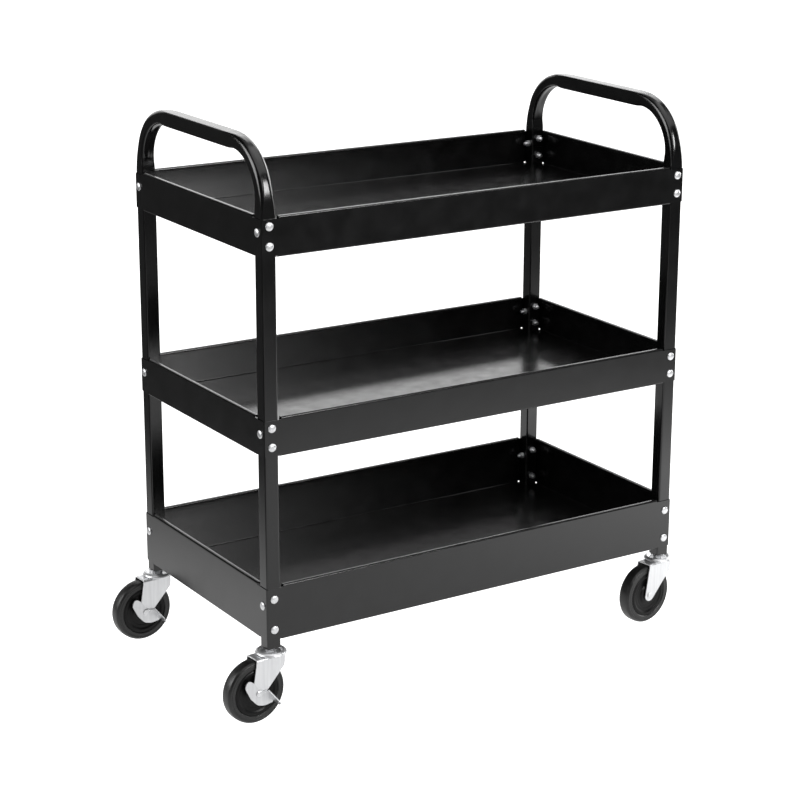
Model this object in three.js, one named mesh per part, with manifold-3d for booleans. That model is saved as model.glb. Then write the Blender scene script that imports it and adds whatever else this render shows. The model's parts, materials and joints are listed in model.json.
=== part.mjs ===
// Three-shelf steel tool cart. Folded sheet trays are bolted to four square tube legs, a U of the same
// tube stands at each short end as a handle, and four swivel casters carry it. Two casters have brakes.
//
// Units are millimetres. +Z is up, X runs along the long side and -Y is the front long side.
// The origin is on the floor, below the centre of the trays.

import * as THREE from 'three';
import { mergeVertices } from 'three/addons/utils/BufferGeometryUtils.js';
import Module from 'manifold-3d';

// ---------------------------------------------------------------- driving dimensions

const CART_LENGTH = 760;
const CART_WIDTH = 402;
const GAP = 0.3; // clearance kept between neighbouring pieces

// Trays: one sheet each, folded up on four sides, with the top edge rolled inwards.
const SHEET = 0.8;
const TRAY_CORNER = 2.4; // outer radius of a vertical corner
const TRAYS = [
  { name: 'top_tray', bottom: 707.5, depth: 59.3 },
  { name: 'middle_tray', bottom: 411.2, depth: 59.3 },
  { name: 'bottom_tray', bottom: 125.5, depth: 86 },
];
const BEAD_RADIUS = 3.8; // of the rolled edge, over its outside
const BEAD_LIP = 2; // straight part of the roll below its inner side
const BEAD_END = 5; // the roll stops this far short of a tube
const NOTCH = 0.8; // clearance round the tube where it passes through the floor

// Square tube of legs and handles
const TUBE = 22.5;
const TUBE_WALL = 1.2;
const TUBE_CORNER = 2.2;
const TUBE_INSET = SHEET + GAP;
const LEG_X = CART_LENGTH / 2 - TUBE_INSET - TUBE / 2;
const LEG_Y = CART_WIDTH / 2 - TUBE_INSET - TUBE / 2;
const LEG_BOTTOM = 112.5;
const HANDLE_TOP = 872.5;
const HANDLE_BEND = 78; // radius of the tube's centre line
const HANDLE_BEND_STEPS = 8;
const TUBE_SPLIT = TRAYS[0].bottom + 31; // the handle stands on the leg between the two bolts
const JOINER_LENGTH = 60;
const JOINER_WALL = 1.5;

// Threaded foot in the bottom of each leg
const FOOT_HEIGHT = 26;

// Caster: the swivel axis is z, the wheel trails towards -X and the brake is on the -Y side.
const WHEEL_RADIUS = 49.5;
const WHEEL_WIDTH = 22;
const TRAIL = 32;
const CROWN_TOP = 102.4;
const FORK_SHEET = 2;
const FORK_INSIDE = 12.6; // half the clear width between the fork's legs
const FORK_OUTSIDE = FORK_INSIDE + FORK_SHEET;
const FORK_BOSS = 10.5; // radius of the rounded end at the axle
const FORK_BACK = -32.5; // square trailing edge of the top plate
const FORK_FRONT = 15.5;
const STEM_RADIUS = 4.8;
const STEM_TOP = LEG_BOTTOM + 31;
const KINGPIN_RADIUS = 5.6;
const RIVET_RADIUS = 9;
const RIVET_HEIGHT = 2.4;
const NUT_FLATS = 14.3;
const CUP_RADIUS = 24;
const CUP_TOP = 108.6;
const CUP_DISH = 104.6; // floor of the dish that the stem nut sits in
const AXLE_RADIUS = 4;
const AXLE_HEAD_RADIUS = 6;
const AXLE_HEAD_HEIGHT = 1.6;
const SLEEVE_RADIUS = 6.2;
const CORE_RADIUS = 37;
const LEVER_SHEET = 2;
const PEDAL_REACH = 22;

const CASTERS = [
  { corner: 'front_left', x: -1, y: -1, swivel: 4, brake: true },
  { corner: 'back_left', x: -1, y: 1, swivel: 3, brake: true },
  { corner: 'front_right', x: 1, y: -1, swivel: 8, brake: false },
  { corner: 'back_right', x: 1, y: 1, swivel: 5, brake: false },
];

const ROUND = 28; // sides of the tyres
const ROUND_MIDDLE = 20; // sides of wheel bodies and ball cups
const ROUND_SMALL = 10; // sides of pins and holes

// ---------------------------------------------------------------- materials

const paint = () => new THREE.MeshStandardMaterial({ color: 0x121213, roughness: 0.38, metalness: 0.1 });
const gloss = () => new THREE.MeshStandardMaterial({ color: 0x0b0b0c, roughness: 0.2, metalness: 0.1 });
const zinc = () => new THREE.MeshStandardMaterial({ color: 0xcfd1d2, roughness: 0.32, metalness: 0.9 });
const steel = () => new THREE.MeshStandardMaterial({ color: 0x8d8f91, roughness: 0.4, metalness: 0.9 });
const rubber = () => new THREE.MeshStandardMaterial({ color: 0x2b2b2c, roughness: 0.7, metalness: 0 });
const plastic = () => new THREE.MeshStandardMaterial({ color: 0x161617, roughness: 0.45, metalness: 0 });

// ---------------------------------------------------------------- solids

const wasm = await Module();
wasm.setup();

function solid(geometry) {
  const bare = geometry.clone();
  bare.deleteAttribute('normal');
  bare.deleteAttribute('uv');
  const merged = mergeVertices(bare, 1e-4);
  const vertProperties = new Float32Array(merged.attributes.position.array);
  const triVerts = new Uint32Array(merged.index.array);
  return new wasm.Manifold(new wasm.Mesh({ numProp: 3, vertProperties, triVerts }));
}

function geometryOf(body) {
  const mesh = body.getMesh();
  const geometry = new THREE.BufferGeometry();
  geometry.setAttribute('position', new THREE.BufferAttribute(mesh.vertProperties, 3));
  geometry.setIndex(new THREE.BufferAttribute(mesh.triVerts, 1));
  geometry.computeVertexNormals();
  return geometry;
}

function named(name, geometry, material) {
  const mesh = new THREE.Mesh(geometry, material);
  mesh.name = name;
  return mesh;
}

function roundedRectangle(width, height, radius) {
  const x = width / 2;
  const y = height / 2;
  const shape = new THREE.Shape();
  shape.absarc(x - radius, y - radius, radius, 0, Math.PI / 2);
  shape.absarc(radius - x, y - radius, radius, Math.PI / 2, Math.PI);
  shape.absarc(radius - x, radius - y, radius, Math.PI, 1.5 * Math.PI);
  shape.absarc(x - radius, radius - y, radius, 1.5 * Math.PI, 2 * Math.PI);
  return shape;
}

function polygon(points) {
  return new THREE.Shape(points.map(([x, y]) => new THREE.Vector2(x, y)));
}

// A shape in XY drawn out along Z
function prism(shape, bottom, top, curveSegments = 2) {
  const options = { depth: top - bottom, bevelEnabled: false, curveSegments };
  return new THREE.ExtrudeGeometry(shape, options).translate(0, 0, bottom);
}

// A shape in XZ drawn out along Y, between front (lower y) and back
function slab(shape, front, back, curveSegments = 3) {
  return prism(shape, -back, -front, curveSegments).rotateX(Math.PI / 2);
}

// A profile of [radius, height] pairs turned round Z
function turned(profile, sides) {
  const points = profile.map(([radius, height]) => new THREE.Vector2(radius, height));
  return new THREE.LatheGeometry(points, sides).rotateX(Math.PI / 2);
}

// The same, turned round Y, with the profile's height along +Y
function turnedAcross(profile, sides) {
  const points = profile.map(([radius, height]) => new THREE.Vector2(radius, height));
  return new THREE.LatheGeometry(points, sides);
}

function disc(radius, bottom, top) {
  return [[0, bottom], [radius, bottom], [radius, top], [0, top]];
}

function ring(innerRadius, outerRadius, bottom, top) {
  return [
    [innerRadius, bottom],
    [outerRadius, bottom],
    [outerRadius, top],
    [innerRadius, top],
    [innerRadius, bottom],
  ];
}

// ---------------------------------------------------------------- trays

// The floor is a cross: a tube passes through each corner.
function trayFloorShape() {
  const outerX = (CART_LENGTH - SHEET) / 2;
  const outerY = (CART_WIDTH - SHEET) / 2;
  const innerX = LEG_X - TUBE / 2 - NOTCH;
  const innerY = LEG_Y - TUBE / 2 - NOTCH;
  return polygon([
    [innerX, -outerY], [innerX, -innerY], [outerX, -innerY],
    [outerX, innerY], [innerX, innerY], [innerX, outerY],
    [-innerX, outerY], [-innerX, innerY], [-outerX, innerY],
    [-outerX, -innerY], [-innerX, -innerY], [-innerX, -outerY],
  ]);
}

// Section of the rolled edge, an upturned U: x runs inwards from the wall's outer face and y is up from the
// end of the inner lip.
function beadShape() {
  const width = 2 * BEAD_RADIUS;
  const shape = new THREE.Shape();
  shape.moveTo(0, 0);
  shape.lineTo(SHEET, 0);
  shape.absarc(BEAD_RADIUS, BEAD_LIP, BEAD_RADIUS - SHEET, Math.PI, 0, true);
  shape.lineTo(width - SHEET, 0);
  shape.lineTo(width, 0);
  shape.absarc(BEAD_RADIUS, BEAD_LIP, BEAD_RADIUS, 0, Math.PI);
  return shape;
}

function bead(length, quarterTurns, distance, rim) {
  const options = { depth: length, bevelEnabled: false, curveSegments: 3 };
  const geometry = new THREE.ExtrudeGeometry(beadShape(), options);
  geometry.translate(-distance, 0, -length / 2);
  geometry.rotateX(Math.PI / 2);
  geometry.rotateZ(quarterTurns * Math.PI / 2);
  return geometry.translate(0, 0, rim - BEAD_RADIUS - BEAD_LIP);
}

function tray({ name, bottom, depth }) {
  const wallTop = depth - BEAD_RADIUS;
  const outer = roundedRectangle(CART_LENGTH, CART_WIDTH, TRAY_CORNER);
  const inside = roundedRectangle(CART_LENGTH - 2 * SHEET, CART_WIDTH - 2 * SHEET, TRAY_CORNER - SHEET);
  let body = solid(prism(outer, 0, wallTop, 2));
  body = body.subtract(solid(prism(inside, -1, wallTop + 1, 2)));
  body = body.add(solid(prism(trayFloorShape(), 0, SHEET)));
  const longBead = 2 * (LEG_X - TUBE / 2 - BEAD_END);
  const shortBead = 2 * (LEG_Y - TUBE / 2 - BEAD_END);
  for (const side of [0, 2]) {
    body = body.add(solid(bead(shortBead, side, CART_LENGTH / 2, depth)));
    body = body.add(solid(bead(longBead, side + 1, CART_WIDTH / 2, depth)));
  }
  const mesh = named(name, geometryOf(body), paint());
  mesh.position.z = bottom;
  return mesh;
}

// ---------------------------------------------------------------- tubes

function tubeShape() {
  const shape = roundedRectangle(TUBE, TUBE, TUBE_CORNER);
  const bore = TUBE - 2 * TUBE_WALL;
  shape.holes.push(roundedRectangle(bore, bore, TUBE_CORNER - TUBE_WALL));
  return shape;
}

function leg(corner, x, y) {
  const mesh = named(`leg_${corner}`, prism(tubeShape(), LEG_BOTTOM, TUBE_SPLIT - GAP / 2, 1), gloss());
  mesh.position.set(x * LEG_X, y * LEG_Y, 0);
  return mesh;
}

// Centre line of a handle: up, over and down, in the YZ plane. One step for each straight run and
// HANDLE_BEND_STEPS for each bend.
class HandleLine extends THREE.Curve {
  constructor(start, top, halfWidth, radius) {
    super();
    this.start = start;
    this.top = top;
    this.halfWidth = halfWidth;
    this.radius = radius;
    this.steps = 2 * HANDLE_BEND_STEPS + 3;
  }

  // Point and direction for 0 to 1 from one end to the middle and on to the other
  station(t) {
    const mirrored = t > 0.5;
    const step = Math.min(t, 1 - t) * this.steps;
    const side = mirrored ? 1 : -1;
    const bendHeight = this.top - this.radius;
    const bendY = this.halfWidth - this.radius;
    let y = this.halfWidth;
    let z = this.start + (bendHeight - this.start) * Math.min(step, 1);
    let angle = 0;
    if (step > 1) {
      angle = Math.min((step - 1) / HANDLE_BEND_STEPS, 1) * Math.PI / 2;
      y = bendY + this.radius * Math.cos(angle);
      z = bendHeight + this.radius * Math.sin(angle);
    }
    if (step > 1 + HANDLE_BEND_STEPS) {
      y = bendY * 2 * (0.5 - (step - 1 - HANDLE_BEND_STEPS));
    }
    const direction = new THREE.Vector3(0, Math.sin(angle), -side * Math.cos(angle));
    return { point: new THREE.Vector3(0, side * y, z), direction };
  }

  getPoint(t) {
    return this.station(t).point;
  }

  getPointAt(t) {
    return this.station(t).point;
  }

  getTangentAt(t) {
    return this.station(t).direction;
  }
}

function handle(end, x) {
  const line = new HandleLine(TUBE_SPLIT + GAP / 2, HANDLE_TOP - TUBE / 2, LEG_Y, HANDLE_BEND);
  const options = { steps: line.steps, extrudePath: line, curveSegments: 1 };
  const mesh = named(`handle_${end}`, new THREE.ExtrudeGeometry(tubeShape(), options), gloss());
  mesh.position.x = x * LEG_X;
  return mesh;
}

function joiner(corner, x, y) {
  const outer = TUBE - 2 * TUBE_WALL - 2 * GAP;
  const inner = outer - 2 * JOINER_WALL;
  const shape = roundedRectangle(outer, outer, TUBE_CORNER - TUBE_WALL);
  shape.holes.push(roundedRectangle(inner, inner, GAP));
  const bottom = TUBE_SPLIT - JOINER_LENGTH / 2;
  const mesh = named(`tube_joiner_${corner}`, prism(shape, bottom, bottom + JOINER_LENGTH, 1), steel());
  mesh.position.set(x * LEG_X, y * LEG_Y, 0);
  return mesh;
}

function foot(corner, x, y) {
  const outer = TUBE - 2 * TUBE_WALL - 2 * GAP;
  const shape = roundedRectangle(outer, outer, TUBE_CORNER - TUBE_WALL);
  const hole = new THREE.EllipseCurve(0, 0, STEM_RADIUS + GAP, STEM_RADIUS + GAP);
  shape.holes.push(new THREE.Path(hole.getPoints(ROUND_SMALL)));
  const mesh = named(`leg_foot_${corner}`, prism(shape, LEG_BOTTOM, LEG_BOTTOM + FOOT_HEIGHT, 1), steel());
  mesh.position.set(x * LEG_X, y * LEG_Y, 0);
  return mesh;
}

// ---------------------------------------------------------------- casters

// Pieces that stay with the leg: the stem, its nut and the ball cup
function stem() {
  const rivetTop = CROWN_TOP - FORK_SHEET - GAP;
  const profile = [
    [0, rivetTop - RIVET_HEIGHT],
    [RIVET_RADIUS - 1.4, rivetTop - RIVET_HEIGHT],
    [RIVET_RADIUS, rivetTop - 0.8],
    [RIVET_RADIUS, rivetTop],
    [KINGPIN_RADIUS, rivetTop],
    [KINGPIN_RADIUS, CUP_DISH + GAP],
    [STEM_RADIUS, CUP_DISH + GAP],
    [STEM_RADIUS, STEM_TOP - 1],
    [STEM_RADIUS - 1, STEM_TOP],
    [0, STEM_TOP],
  ];
  return turned(profile, ROUND_SMALL);
}

function stemNut() {
  const corner = NUT_FLATS / Math.sqrt(3);
  const bottom = CUP_DISH + GAP;
  const top = LEG_BOTTOM - GAP;
  const hexagon = turned(disc(corner, bottom, top), 6);
  const bore = turned(disc(STEM_RADIUS + GAP, bottom - 1, top + 1), ROUND_SMALL);
  return geometryOf(solid(hexagon).subtract(solid(bore)));
}

function ballCup() {
  const bottom = CROWN_TOP + GAP;
  const hole = KINGPIN_RADIUS + GAP;
  const profile = [
    [hole, bottom],
    [CUP_RADIUS - 0.4, bottom],
    [CUP_RADIUS, bottom + 1.6],
    [CUP_RADIUS - 1.2, bottom + 3.8],
    [CUP_RADIUS - 4, CUP_TOP],
    [CUP_RADIUS - 6.4, CUP_TOP - 0.4],
    [CUP_RADIUS - 8.8, CUP_DISH],
    [hole, CUP_DISH],
    [hole, bottom],
  ];
  return turned(profile, ROUND_MIDDLE);
}

// Outline of one leg of the fork, in XZ
function forkLegShape() {
  const shape = new THREE.Shape();
  const backAngle = THREE.MathUtils.degToRad(188);
  const frontAngle = THREE.MathUtils.degToRad(-42);
  shape.moveTo(FORK_FRONT, CROWN_TOP);
  shape.lineTo(FORK_BACK, CROWN_TOP);
  shape.absarc(-TRAIL, WHEEL_RADIUS, FORK_BOSS, backAngle, frontAngle + 2 * Math.PI);
  shape.lineTo(12.5, 82);
  shape.quadraticCurveTo(FORK_FRONT, 86.5, FORK_FRONT, 93);
  return shape;
}

// Top plate of the fork, in XY: square at the trailing end and rounded in front
function crownShape() {
  const shape = new THREE.Shape();
  shape.moveTo(FORK_BACK, -FORK_OUTSIDE);
  shape.lineTo(FORK_FRONT, -FORK_OUTSIDE);
  shape.quadraticCurveTo(FORK_FRONT + 7, 0, FORK_FRONT, FORK_OUTSIDE);
  shape.lineTo(FORK_BACK, FORK_OUTSIDE);
  return shape;
}

function fork() {
  const legShape = forkLegShape();
  let body = solid(prism(crownShape(), CROWN_TOP - FORK_SHEET, CROWN_TOP, 4));
  body = body.add(solid(slab(legShape, -FORK_OUTSIDE, -FORK_INSIDE, 4)));
  body = body.add(solid(slab(legShape, FORK_INSIDE, FORK_OUTSIDE, 4)));
  const kingpinHole = turned(disc(KINGPIN_RADIUS + GAP, CROWN_TOP - 10, CROWN_TOP + 10), ROUND_SMALL);
  const reach = FORK_OUTSIDE + 1;
  const axleHole = turnedAcross(disc(AXLE_RADIUS + GAP, -reach, reach), ROUND_SMALL);
  axleHole.translate(-TRAIL, 0, WHEEL_RADIUS);
  return geometryOf(body.subtract(solid(kingpinHole)).subtract(solid(axleHole)));
}

// A riveted pin with a low head outside each fork leg, or outside the brake lever
function axle(brake) {
  const backHead = FORK_OUTSIDE + GAP;
  const frontHead = brake ? FORK_OUTSIDE + 2 * GAP + LEVER_SHEET : backHead;
  const crown = AXLE_HEAD_RADIUS - 1.6;
  return turnedAcross([
    [0, -frontHead - AXLE_HEAD_HEIGHT],
    [crown, -frontHead - AXLE_HEAD_HEIGHT],
    [AXLE_HEAD_RADIUS, -frontHead - 0.5],
    [AXLE_HEAD_RADIUS, -frontHead],
    [AXLE_RADIUS, -frontHead],
    [AXLE_RADIUS, backHead],
    [AXLE_HEAD_RADIUS, backHead],
    [AXLE_HEAD_RADIUS, backHead + 0.5],
    [crown, backHead + AXLE_HEAD_HEIGHT],
    [0, backHead + AXLE_HEAD_HEIGHT],
  ], ROUND_SMALL);
}

function axleSleeve() {
  const half = FORK_INSIDE - GAP;
  return turnedAcross(ring(AXLE_RADIUS + GAP, SLEEVE_RADIUS, -half, half), ROUND_SMALL);
}

// Moulded wheel body: a thick hub and a thin web with a raised rim
function wheelCore() {
  const half = WHEEL_WIDTH / 2;
  const hole = SLEEVE_RADIUS + GAP;
  const web = half - 4.5;
  const side = [
    [CORE_RADIUS, half - 1.2],
    [CORE_RADIUS - 4, half - 1.2],
    [CORE_RADIUS - 6, web],
    [17, web],
    [14.5, half],
    [hole, half],
  ];
  const mirrored = side.map(([radius, y]) => [radius, -y]);
  return turnedAcross([[CORE_RADIUS, -half + 1.2], ...side, ...mirrored.reverse()], ROUND_MIDDLE);
}

function tyre() {
  const half = WHEEL_WIDTH / 2;
  const hole = CORE_RADIUS + GAP;
  const side = [
    [WHEEL_RADIUS, half - 4],
    [WHEEL_RADIUS - 1.2, half - 1],
    [WHEEL_RADIUS - 3, half],
    [hole, half],
  ];
  const mirrored = side.map(([radius, y]) => [radius, -y]);
  return turnedAcross([[hole, -half], ...mirrored.reverse().slice(1), ...side, [hole, -half]], ROUND);
}

// Brake lever: a leaf on the axle with a rounded ear behind and a pedal bent outwards in front
function brakeLever() {
  const edgeTop = new THREE.Vector2(16, 1);
  const edgeBottom = new THREE.Vector2(25, -18.5);
  const leaf = new THREE.Shape();
  leaf.moveTo(edgeTop.x, edgeTop.y);
  leaf.quadraticCurveTo(1, 6, -9.5, 17.5);
  leaf.quadraticCurveTo(-15.5, 25.5, -21, 21.5);
  leaf.quadraticCurveTo(-25, 16.5, -20.5, 8);
  leaf.quadraticCurveTo(-16.5, -3, -9.5, -8.5);
  leaf.quadraticCurveTo(-1.5, -19.5, 11, -20.3);
  leaf.quadraticCurveTo(20.5, -21.5, edgeBottom.x, edgeBottom.y);
  const face = -FORK_OUTSIDE - GAP - LEVER_SHEET;
  const edge = edgeBottom.clone().sub(edgeTop);
  const length = edge.length();
  const pedal = prism(polygon([
    [0, 0], [length, 0], [length, PEDAL_REACH - 2], [length - 2, PEDAL_REACH], [length - 5, PEDAL_REACH],
  ]), -LEVER_SHEET, 0);
  const along = new THREE.Vector3(edge.x, 0, edge.y).normalize();
  const outwards = new THREE.Vector3(0, -1, 0);
  const basis = new THREE.Matrix4().makeBasis(along, outwards, along.clone().cross(outwards));
  basis.setPosition(edgeTop.x, face + LEVER_SHEET, edgeTop.y);
  pedal.applyMatrix4(basis);
  const hole = turnedAcross(disc(AXLE_RADIUS + GAP, face - 1, face + LEVER_SHEET + 1), ROUND_SMALL);
  const plate = solid(slab(leaf, face, face + LEVER_SHEET, 4));
  return geometryOf(plate.add(solid(pedal)).subtract(solid(hole)));
}

function caster({ corner, x, y, swivel, brake }) {
  const mount = new THREE.Group();
  mount.position.set(x * LEG_X, y * LEG_Y, 0);
  mount.add(named(`caster_stem_${corner}`, stem(), zinc()));
  mount.add(named(`stem_nut_${corner}`, stemNut(), zinc()));
  mount.add(named(`ball_cup_${corner}`, ballCup(), zinc()));

  const swinging = new THREE.Group();
  swinging.rotation.z = THREE.MathUtils.degToRad(swivel);
  swinging.add(named(`fork_${corner}`, fork(), zinc()));

  const wheel = new THREE.Group();
  wheel.position.set(-TRAIL, 0, WHEEL_RADIUS);
  wheel.add(named(`axle_${corner}`, axle(brake), zinc()));
  wheel.add(named(`axle_sleeve_${corner}`, axleSleeve(), steel()));
  wheel.add(named(`wheel_core_${corner}`, wheelCore(), plastic()));
  wheel.add(named(`tyre_${corner}`, tyre(), rubber()));
  if (brake) {
    wheel.add(named(`brake_lever_${corner}`, brakeLever(), zinc()));
  }
  swinging.add(wheel);
  mount.add(swinging);
  return mount;
}

// ---------------------------------------------------------------- the cart

const cart = new THREE.Group();
for (const spec of TRAYS) {
  cart.add(tray(spec));
}
cart.add(handle('left', -1));
cart.add(handle('right', 1));
for (const spec of CASTERS) {
  cart.add(leg(spec.corner, spec.x, spec.y));
  cart.add(joiner(spec.corner, spec.x, spec.y));
  cart.add(foot(spec.corner, spec.x, spec.y));
  cart.add(caster(spec));
}

export default cart;
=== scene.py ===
"""Looks for a three-shelf steel tool cart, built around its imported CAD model.

Pieces are drawn in millimetres and scaled to metres as their meshes are made. Places come from the frame:
tray, tube and handle boxes, and the pivots and axes of the caster joints.
"""

import json
import math

import bmesh
import bpy
from mathutils import Matrix, Vector


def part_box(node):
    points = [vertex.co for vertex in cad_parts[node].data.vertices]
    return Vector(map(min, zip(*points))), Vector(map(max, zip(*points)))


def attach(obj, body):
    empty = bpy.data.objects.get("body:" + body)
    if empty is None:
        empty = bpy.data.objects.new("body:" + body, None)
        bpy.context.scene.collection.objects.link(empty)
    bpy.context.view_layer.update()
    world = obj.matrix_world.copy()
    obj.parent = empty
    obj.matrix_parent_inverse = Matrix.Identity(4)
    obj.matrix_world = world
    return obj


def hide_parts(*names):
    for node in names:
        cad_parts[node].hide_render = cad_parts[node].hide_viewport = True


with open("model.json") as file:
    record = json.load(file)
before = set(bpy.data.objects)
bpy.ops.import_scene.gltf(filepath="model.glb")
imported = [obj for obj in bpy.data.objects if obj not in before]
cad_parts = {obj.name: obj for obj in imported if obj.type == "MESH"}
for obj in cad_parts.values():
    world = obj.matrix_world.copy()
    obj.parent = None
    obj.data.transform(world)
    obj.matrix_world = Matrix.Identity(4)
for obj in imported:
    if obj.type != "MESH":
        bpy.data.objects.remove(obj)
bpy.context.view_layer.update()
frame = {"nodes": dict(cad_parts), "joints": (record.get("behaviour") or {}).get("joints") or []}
scene = bpy.context.scene

MM = 0.001
TAU = 2 * math.pi

# ---------------------------------------------------------------- sizes, in millimetres

SHEET = 0.8
TRAY_CORNER = 2.4
FOLD = 2.2  # outer radius of the fold between floor and wall
BEAD = 3.8  # radius of the rolled edge
BEAD_LIP = 2.0  # the roll's free edge hangs this far below its centre
ROLL_SQUARENESS = 0.6  # 1 for a round roll, lower for a flatter top
BEAD_END = 5.0  # the roll stops this far short of a tube
NOTCH = 0.5  # clearance round a tube in the floor
RELIEF = 1.2  # length of the relief cut at the end of each fold
RELIEF_DEPTH = 0.7

TUBE_WALL = 1.2
TUBE_CORNER = 2.4
HANDLE_BEND = 78.0
BEND_FLATTENED = 0.9  # how far the outside of a bend is drawn in
BEND_CORNER = 8.0  # corner radius on the outside of a bend
BEND_INNER_CORNER = 5.0  # corner radius on the inside of a bend
BEND_PRESSED = 1.2  # how far the inside of a bend is pressed in
BEND_CREASE = 0.9  # how much further the middle of that inside sinks
FLATTENING_BEFORE = 20.0  # length of straight tube that a bend's flattening reaches into
FLATTENING_WITHIN = 26.0  # length of bend after which it is complete
PRESSING_BEFORE = 10.0  # length of straight tube that the short step of the pressing reaches into
PRESSING_STEP = 16.0  # length of that step

BOLT_RADIUS = 3.0
BOLT_HEAD = 6.4
BOLT_DOME = 2.9
BOLT_RIM = 0.7  # height of the head's edge
NUT_FLATS = 10.0
NUT_HEIGHT = 5.0
THREAD_END = 5.5  # thread showing beyond a nut
LONG_WALL_BOLTS = {"top_tray": (16.3, 45.4), "middle_tray": (15.4, 44.2), "bottom_tray": (17.3, 65.5)}
SHORT_WALL_BOLTS = {"top_tray": 35.8, "middle_tray": 34.4, "bottom_tray": 53.8}

WHEEL_RADIUS = 49.5
WHEEL_WIDTH = 22.0
TREAD_CROWN = 0.0085  # fall of the tread, for each millimetre from its middle squared
CORE_RADIUS = 37.0
TRAIL = 32.0
CROWN_TOP = 102.4
CROWN_BEND = 3.2
FORK_SHEET = 2.0
FORK_OUTSIDE = 14.6
FORK_INSIDE = FORK_OUTSIDE - FORK_SHEET
FORK_BOSS = 10.5
FORK_BACK = -32.5
FORK_FRONT = 15.5
FORK_NOSE = 3.5  # how far the front of the crown bulges past the fork legs
KINGPIN_RADIUS = 5.6
RIVET_RADIUS = 9.0
RIVET_HEIGHT = 2.4
CUP_RADIUS = 24.0
CUP_TOP = 108.6
CUP_DISH = 104.6
LEG_BOTTOM = 112.5
STEM_RADIUS = 4.8
STEM_TOP = 143.5
STEM_NUT_FLATS = 14.3
GAP = 0.3  # between pieces that touch on the real cart
AXLE_RADIUS = 4.0
AXLE_HEAD = 5.2
AXLE_HEAD_HEIGHT = 1.3
SLEEVE_RADIUS = 6.2
LEVER_SHEET = 2.0
PEDAL_REACH = 22.0

FINE = 96  # sides of wheels and cups
MEDIUM = 48  # sides of pins, heads and nuts
SMOOTH_ANGLE = 32  # degrees between faces, below which an edge is smooth


# ---------------------------------------------------------------- mesh tools

def rounded_path(corners, closed=True, steps=6):
    """Points of a path through (x, y, radius) corners, each rounded with its own radius."""
    points = []
    last = len(corners) - 1
    for i, (x, y, radius) in enumerate(corners):
        here = Vector((x, y))
        if radius <= 0 or (not closed and i in (0, last)):
            points.append(here)
            continue
        before = Vector(corners[i - 1][:2]) - here
        after = Vector(corners[0 if i == last else i + 1][:2]) - here
        half = before.angle(after) / 2
        reach = min(radius / math.tan(half), 0.499 * before.length, 0.499 * after.length)
        radius = reach * math.tan(half)
        middle = (before.normalized() + after.normalized()).normalized()
        centre = here + middle * radius / math.sin(half)
        start = here + before.normalized() * reach - centre
        end = here + after.normalized() * reach - centre
        turn = math.atan2(start.x * end.y - start.y * end.x, start.dot(end))
        for step in range(steps + 1):
            points.append(centre + Matrix.Rotation(turn * step / steps, 2) @ start)
    return points


def loft(loops, closed=False, capped=True):
    """Quads between equal loops of points, with the ends capped or joined."""
    count = len(loops[0])
    rings = len(loops)
    points = [point for loop in loops for point in loop]
    faces = []
    for ring in range(rings if closed else rings - 1):
        here = ring * count
        there = (ring + 1) % rings * count
        for i in range(count):
            j = (i + 1) % count
            faces.append((here + i, here + j, there + j, there + i))
    if capped and not closed:
        faces.append(tuple(range(count)))
        faces.append(tuple(range((rings - 1) * count, rings * count)))
    return points, faces


def circle(radius, height, sides):
    angles = [TAU * i / sides for i in range(sides)]
    return [(radius * math.cos(a), radius * math.sin(a), height) for a in angles]


def turned(profile, sides, closed=False):
    """A profile of (radius, height) pairs turned round Z."""
    return loft([circle(*point, sides) for point in profile], closed=closed, capped=False)


def rod(radius, low, high):
    """A plain cylinder on Z."""
    return turned([(0, low), (radius, low), (radius, high), (0, high)], MEDIUM)


def mesh_of(name, shape, smooth_angle=SMOOTH_ANGLE):
    """A mesh in metres from (points, faces) in millimetres, smooth across edges below smooth_angle."""
    points, faces = shape
    mesh = bpy.data.meshes.new(name)
    mesh.from_pydata([Vector(point) * MM for point in points], [], faces)
    tidy(mesh)
    finish_shading(mesh, smooth_angle)
    return mesh


def tidy(mesh):
    """Merges doubled points, drops faces without area and turns every face outwards."""
    work = bmesh.new()
    work.from_mesh(mesh)
    bmesh.ops.remove_doubles(work, verts=work.verts, dist=2e-7)
    bmesh.ops.dissolve_degenerate(work, edges=work.edges, dist=1e-7)
    bmesh.ops.recalc_face_normals(work, faces=work.faces)
    work.to_mesh(mesh)
    work.free()


def finish_shading(mesh, smooth_angle=SMOOTH_ANGLE):
    mesh.shade_smooth()
    mesh.set_sharp_from_angle(angle=math.radians(smooth_angle))


def across(shape):
    """The same shape with its Z axis turned to +Y, for what sits on a wheel's axle."""
    points, faces = shape
    return [(x, z, -y) for x, y, z in points], faces


def moved(shape, offset):
    points, faces = shape
    return [Vector(point) + Vector(offset) for point in points], faces


def prism(outline, low, high):
    """An outline of 2D points drawn from z = low to z = high."""
    return loft([[(x, y, z) for x, y in outline] for z in (low, high)])


def slab(outline, front, back):
    """An outline in XZ drawn from y = front to y = back."""
    return loft([[(x, y, z) for x, z in outline] for y in (front, back)])


def combined(target, shape, operation):
    """The mesh target joined with, cut by or limited to another closed shape."""
    cutter_mesh = mesh_of("cutter", shape)
    holder = bpy.data.objects.new("holder", target)
    cutter = bpy.data.objects.new("cutter", cutter_mesh)
    for obj in (holder, cutter):
        scene.collection.objects.link(obj)
    modifier = holder.modifiers.new("boolean", "BOOLEAN")
    modifier.object = cutter
    modifier.operation = operation
    modifier.solver = "EXACT"
    result = bpy.data.meshes.new_from_object(holder.evaluated_get(bpy.context.evaluated_depsgraph_get()))
    result.name = target.name
    for obj in (holder, cutter):
        bpy.data.objects.remove(obj)
    for mesh in (target, cutter_mesh):
        bpy.data.meshes.remove(mesh)
    result.materials.clear()
    return result


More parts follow.
